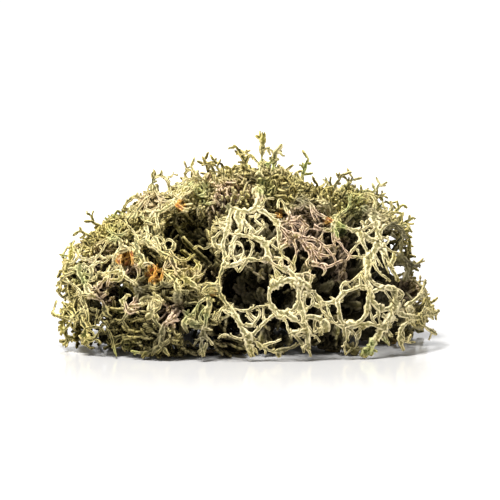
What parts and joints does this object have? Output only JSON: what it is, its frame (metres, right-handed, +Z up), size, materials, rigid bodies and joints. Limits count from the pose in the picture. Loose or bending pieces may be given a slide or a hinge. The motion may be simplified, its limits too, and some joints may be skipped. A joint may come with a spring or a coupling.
{
  "type": "clump of oakmoss lichen",
  "caption": "Dried clump of strap-shaped, forked oakmoss lichen that stands on its own strap ends; natural decoration or craft filling.",
  "frame": {"origin": "on the floor under the middle of the clump's box", "axes": "+Z up, +X along the clump's length, -Y towards the side with the open net of pale straps"},
  "size_m": [0.1218, 0.0852, 0.0656],
  "materials": {
    "pale_strap": "matte, dry, cream margins with a grey-green middle",
    "olive_strap": "matte, dry, olive green with pale margins",
    "brown_strap": "matte, old, brown to pinkish",
    "ochre_strap": "matte, ochre ends",
    "blackened_strap": "satin, blackened"
  },
  "bodies": {
    "root": {"amber_frame": "olive_strap", "apex_sprig": "olive_strap", "arch_leg": "pale_strap", "arch_strap": "pale_strap", "base_web": "pale_strap", "big_arm": "pale_strap", "bough_high_01": "olive_strap", "bough_high_02": "olive_strap", "bough_high_03": "olive_strap", "bough_high_04": "olive_strap", "bough_high_05": "olive_strap", "bough_high_06": "olive_strap", "bough_high_07": "olive_strap", "bough_low_01": "olive_strap", "bough_low_02": "olive_strap", "bough_low_03": "olive_strap", "bough_low_04": "olive_strap", "bough_low_05": "olive_strap", "bough_low_06": "olive_strap", "bough_low_07": "olive_strap", "bough_low_08": "olive_strap", "bough_low_09": "olive_strap", "bough_low_10": "olive_strap", "bough_low_11": "olive_strap", "bough_low_12": "olive_strap", "bough_mid_01": "olive_strap", "bough_mid_02": "olive_strap", "bough_mid_03": "olive_strap", "bough_mid_04": "olive_strap", "bough_mid_05": "olive_strap", "bough_mid_06": "olive_strap", "bough_mid_07": "olive_strap", "bough_mid_08": "olive_strap", "bough_mid_09": "olive_strap", "bough_mid_10": "olive_strap", "bough_top_01": "olive_strap", "bough_top_02": "olive_strap", "bough_top_03": "olive_strap", "brown_fan": "brown_strap", "centre_post": "pale_strap", "dark_strap": "blackened_strap", "hollow_rim": "brown_strap", "left_arc": "olive_strap", "left_foot": "ochre_strap", "left_sprig": "olive_strap", "left_web": "olive_strap", "lower_trunk": "pale_strap", "right_net": "pale_strap", "right_sprig": "olive_strap", "ring_strap": "pale_strap", "thick_leg": "pale_strap", "upper_net": "pale_strap", "upper_trunk": "pale_strap"}
  },
  "joints": []
}
